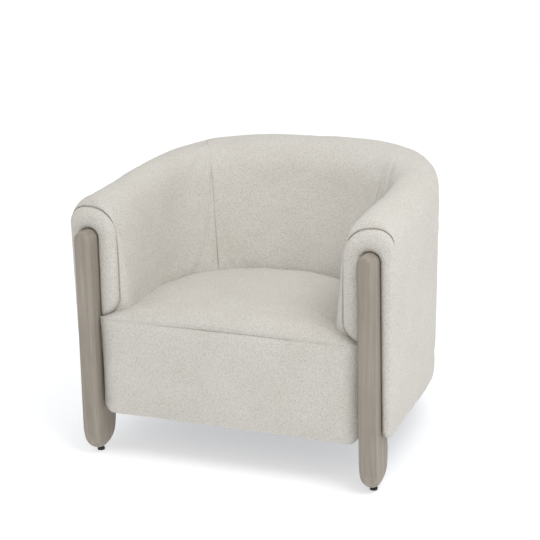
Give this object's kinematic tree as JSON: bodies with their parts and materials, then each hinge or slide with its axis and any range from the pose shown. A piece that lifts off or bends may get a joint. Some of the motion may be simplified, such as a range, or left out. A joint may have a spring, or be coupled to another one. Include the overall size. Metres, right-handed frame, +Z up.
{
  "type": "upholstered tub armchair",
  "caption": "Low tub armchair with a padded curved back and arms, a tight upholstered seat, plank-like wooden front legs lapped onto the arm fronts, and short rear legs.",
  "frame": {"origin": "on the floor under the middle of the chair's outside size", "axes": "+Z up, the chair faces -Y, +X to the right as seen from the front"},
  "size_m": [0.832, 0.796, 0.7114],
  "materials": {
    "boucle": "rough",
    "foam": "rough",
    "leg_wood": "matte",
    "frame_wood": "matte",
    "plywood": "matte",
    "panel_board": "matte",
    "spring_steel": "satin",
    "fastener_steel": "satin",
    "webbing": "rough",
    "deck_felt": "rough",
    "dust_cloth": "rough",
    "glide_plastic": "matte"
  },
  "bodies": {
    "root": {"arm_cover_left": "boucle", "arm_cover_right": "boucle", "arm_facing_cover_left": "boucle", "arm_facing_cover_right": "boucle", "inside_back_cover": "boucle", "outside_back_cover": "boucle", "seat_top_cover": "boucle", "seat_front_cover": "boucle", "arm_padding_left": "foam", "arm_padding_right": "foam", "back_padding": "foam", "seat_foam": "foam", "seat_front_pad": "foam", "front_leg_left": "leg_wood", "front_leg_right": "leg_wood", "rear_leg_left": "leg_wood", "rear_leg_right": "leg_wood", "seat_front_rail": "frame_wood", "seat_back_rail": "frame_wood", "seat_side_rail_left": "frame_wood", "seat_side_rail_right": "frame_wood", "arm_front_post_left": "frame_wood", "arm_front_post_right": "frame_wood", "arm_back_post_left": "frame_wood", "arm_back_post_right": "frame_wood", "back_upright_left": "frame_wood", "back_upright_right": "frame_wood", "corner_blocks": "frame_wood", "arm_top_rail_left": "plywood", "arm_top_rail_right": "plywood", "back_top_rail": "plywood", "back_base_rail": "plywood", "arm_outer_panel_left": "panel_board", "arm_outer_panel_right": "panel_board", "back_outer_panel": "panel_board", "arm_inner_panel_left": "panel_board", "arm_inner_panel_right": "panel_board", "seat_springs": "spring_steel", "spring_clips": "spring_steel", "leg_bolts": "fastener_steel", "leg_inserts": "fastener_steel", "back_webbing": "webbing", "seat_deck_cloth": "deck_felt", "dust_cover": "dust_cloth", "front_glide_left": "glide_plastic", "front_glide_right": "glide_plastic", "rear_glide_left": "glide_plastic", "rear_glide_right": "glide_plastic"}
  },
  "joints": []
}
